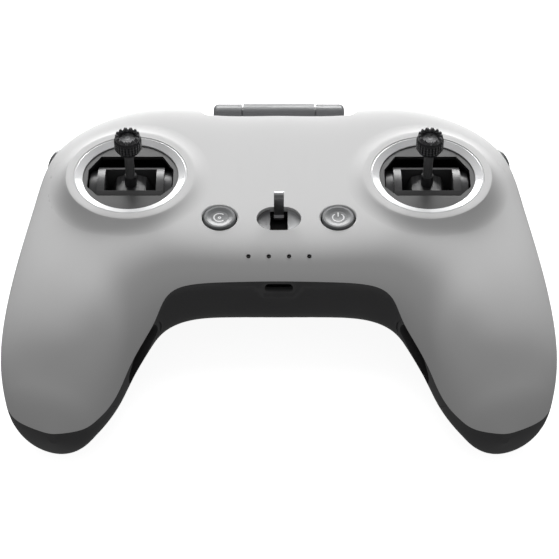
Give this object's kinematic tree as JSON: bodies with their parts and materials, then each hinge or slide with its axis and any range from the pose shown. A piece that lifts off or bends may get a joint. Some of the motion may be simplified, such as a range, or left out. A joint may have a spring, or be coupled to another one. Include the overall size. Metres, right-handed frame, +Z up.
{
  "type": "radio transmitter controller",
  "caption": "Gamepad-style radio control transmitter with gimbal sticks, face keys, folding lanyard hook, folding antenna, shoulder dial, slide switches and stick storage slots in the grips.",
  "frame": {"origin": "middle of the footprint, on the surface that the transmitter lies on", "axes": "+X to the user's right, +Y away from the user, +Z up out of the face"},
  "size_m": [0.1656, 0.1182, 0.0633],
  "materials": {
    "shell_grey": "fine satin grain",
    "shell_dark": "fine matt grain",
    "bezel_gloss": "polished bevel",
    "well_black": "satin",
    "gimbal_grey": "moulded satin",
    "stick_metal": "dark anodised",
    "sensor_black": "moulded",
    "steel": "bright",
    "key_grey": "satin",
    "switch_dark": "fine grain",
    "lamp_clear": "clear, frosted",
    "socket_black": "smooth",
    "board_green": "solder mask",
    "cell_sleeve": "shrink sleeve over a metal can",
    "tray_grey": "moulded",
    "wire_black": "soft",
    "antenna_grey": "fine satin grain"
  },
  "bodies": {
    "casing": {"top_shell": "shell_grey", "bottom_shell": "shell_dark", "front_trim": "shell_dark", "left_storage_insert": "shell_dark", "right_storage_insert": "shell_dark", "left_bezel_ring": "bezel_gloss", "right_bezel_ring": "bezel_gloss", "left_gimbal_cover": "well_black", "right_gimbal_cover": "well_black", "left_gimbal_housing": "well_black", "right_gimbal_housing": "well_black", "lanyard_recess_cup": "well_black", "dial_bracket": "well_black", "left_yoke_sensor": "sensor_black", "right_yoke_sensor": "sensor_black", "dial_encoder": "sensor_black", "tact_switches": "sensor_black", "shoulder_switches": "sensor_black", "buzzer": "sensor_black", "board_chips": "sensor_black", "left_yoke_spring": "steel", "right_yoke_spring": "steel", "gimbal_screws": "steel", "board_screws": "steel", "shell_screws": "steel", "lanyard_pin": "steel", "antenna_pin": "steel", "usb_shell": "steel", "radio_shield": "steel", "charge_lamps": "lamp_clear", "usb_tongue": "socket_black", "main_board": "board_green", "battery_cells": "cell_sleeve", "battery_tray": "tray_grey", "battery_lead": "wire_black", "antenna_lead": "wire_black", "antenna_mount": "antenna_grey"},
    "left_yoke_body": {"left_yoke": "gimbal_grey", "left_carrier_sensor": "sensor_black", "left_carrier_spring": "steel"},
    "left_stick": {"left_carrier": "gimbal_grey", "left_stick_shaft": "stick_metal", "left_stick_cap": "stick_metal"},
    "right_yoke_body": {"right_yoke": "gimbal_grey", "right_carrier_sensor": "sensor_black", "right_carrier_spring": "steel"},
    "right_stick": {"right_carrier": "gimbal_grey", "right_stick_shaft": "stick_metal", "right_stick_cap": "stick_metal"},
    "c1_key": {"c1_button": "key_grey"},
    "power_key": {"power_button": "key_grey"},
    "pause_key": {"pause_button": "key_grey"},
    "start_key": {"start_button": "key_grey"},
    "hook": {"lanyard_hook": "steel"},
    "antenna": {"antenna_paddle": "antenna_grey"},
    "dial": {"gimbal_dial": "switch_dark"},
    "mode_slider": {"flight_mode_switch": "switch_dark"},
    "custom_slider": {"custom_switch": "switch_dark"}
  },
  "joints": [
    {"name": "left_stick_fore_aft", "type": "hinge", "parent": "casing", "child": "left_yoke_body", "pos_m": [-0.0455, 0.0179, 0.033], "axis": [1, 0, 0], "range_deg": [-22, 22], "stiffness_Nm_per_rad": 0.05},
    {"name": "left_stick_left_right", "type": "hinge", "parent": "left_yoke_body", "child": "left_stick", "pos_m": [-0.0455, 0.0179, 0.033], "axis": [0, 1, 0], "range_deg": [-22, 22], "stiffness_Nm_per_rad": 0.05},
    {"name": "right_stick_fore_aft", "type": "hinge", "parent": "casing", "child": "right_yoke_body", "pos_m": [0.0455, 0.0179, 0.033], "axis": [1, 0, 0], "range_deg": [-22, 22], "stiffness_Nm_per_rad": 0.05},
    {"name": "right_stick_left_right", "type": "hinge", "parent": "right_yoke_body", "child": "right_stick", "pos_m": [0.0455, 0.0179, 0.033], "axis": [0, 1, 0], "range_deg": [-22, 22], "stiffness_Nm_per_rad": 0.05},
    {"name": "c1_press", "type": "slide", "parent": "casing", "child": "c1_key", "axis": [0, 0, -1], "range_m": [0, 0.0007], "stiffness_N_per_m": 1200, "springref_m": -0.0004},
    {"name": "power_press", "type": "slide", "parent": "casing", "child": "power_key", "axis": [0, 0, -1], "range_m": [0, 0.0007], "stiffness_N_per_m": 1200, "springref_m": -0.0004},
    {"name": "pause_press", "type": "slide", "parent": "casing", "child": "pause_key", "axis": [0.856, -0.5101, -0.0837], "range_m": [0, 0.0007], "stiffness_N_per_m": 1200, "springref_m": -0.0004},
    {"name": "start_press", "type": "slide", "parent": "casing", "child": "start_key", "axis": [-0.856, -0.5101, -0.0837], "range_m": [0, 0.0007], "stiffness_N_per_m": 1200, "springref_m": -0.0004},
    {"name": "hook_fold", "type": "hinge", "parent": "casing", "child": "hook", "pos_m": [0, 0.0042, 0.0426], "axis": [1, 0, 0], "range_deg": [0, 85]},
    {"name": "antenna_fold", "type": "hinge", "parent": "casing", "child": "antenna", "pos_m": [0, 0.0528, 0.0392], "axis": [1, 0, 0], "range_deg": [0, 155]},
    {"name": "dial_turn", "type": "hinge", "parent": "casing", "child": "dial", "pos_m": [-0.038, 0.0489, 0.0362], "axis": [1, 0, 0], "range_deg": [-25, 25], "stiffness_Nm_per_rad": 0.002},
    {"name": "mode_slide", "type": "slide", "parent": "casing", "child": "mode_slider", "axis": [0.9096, 0.4151, 0.019], "range_m": [-0.0035, 0.0035]},
    {"name": "custom_slide", "type": "slide", "parent": "casing", "child": "custom_slider", "axis": [0.991, -0.1332, -0.0121], "range_m": [-0.0035, 0.0035]}
  ]
}
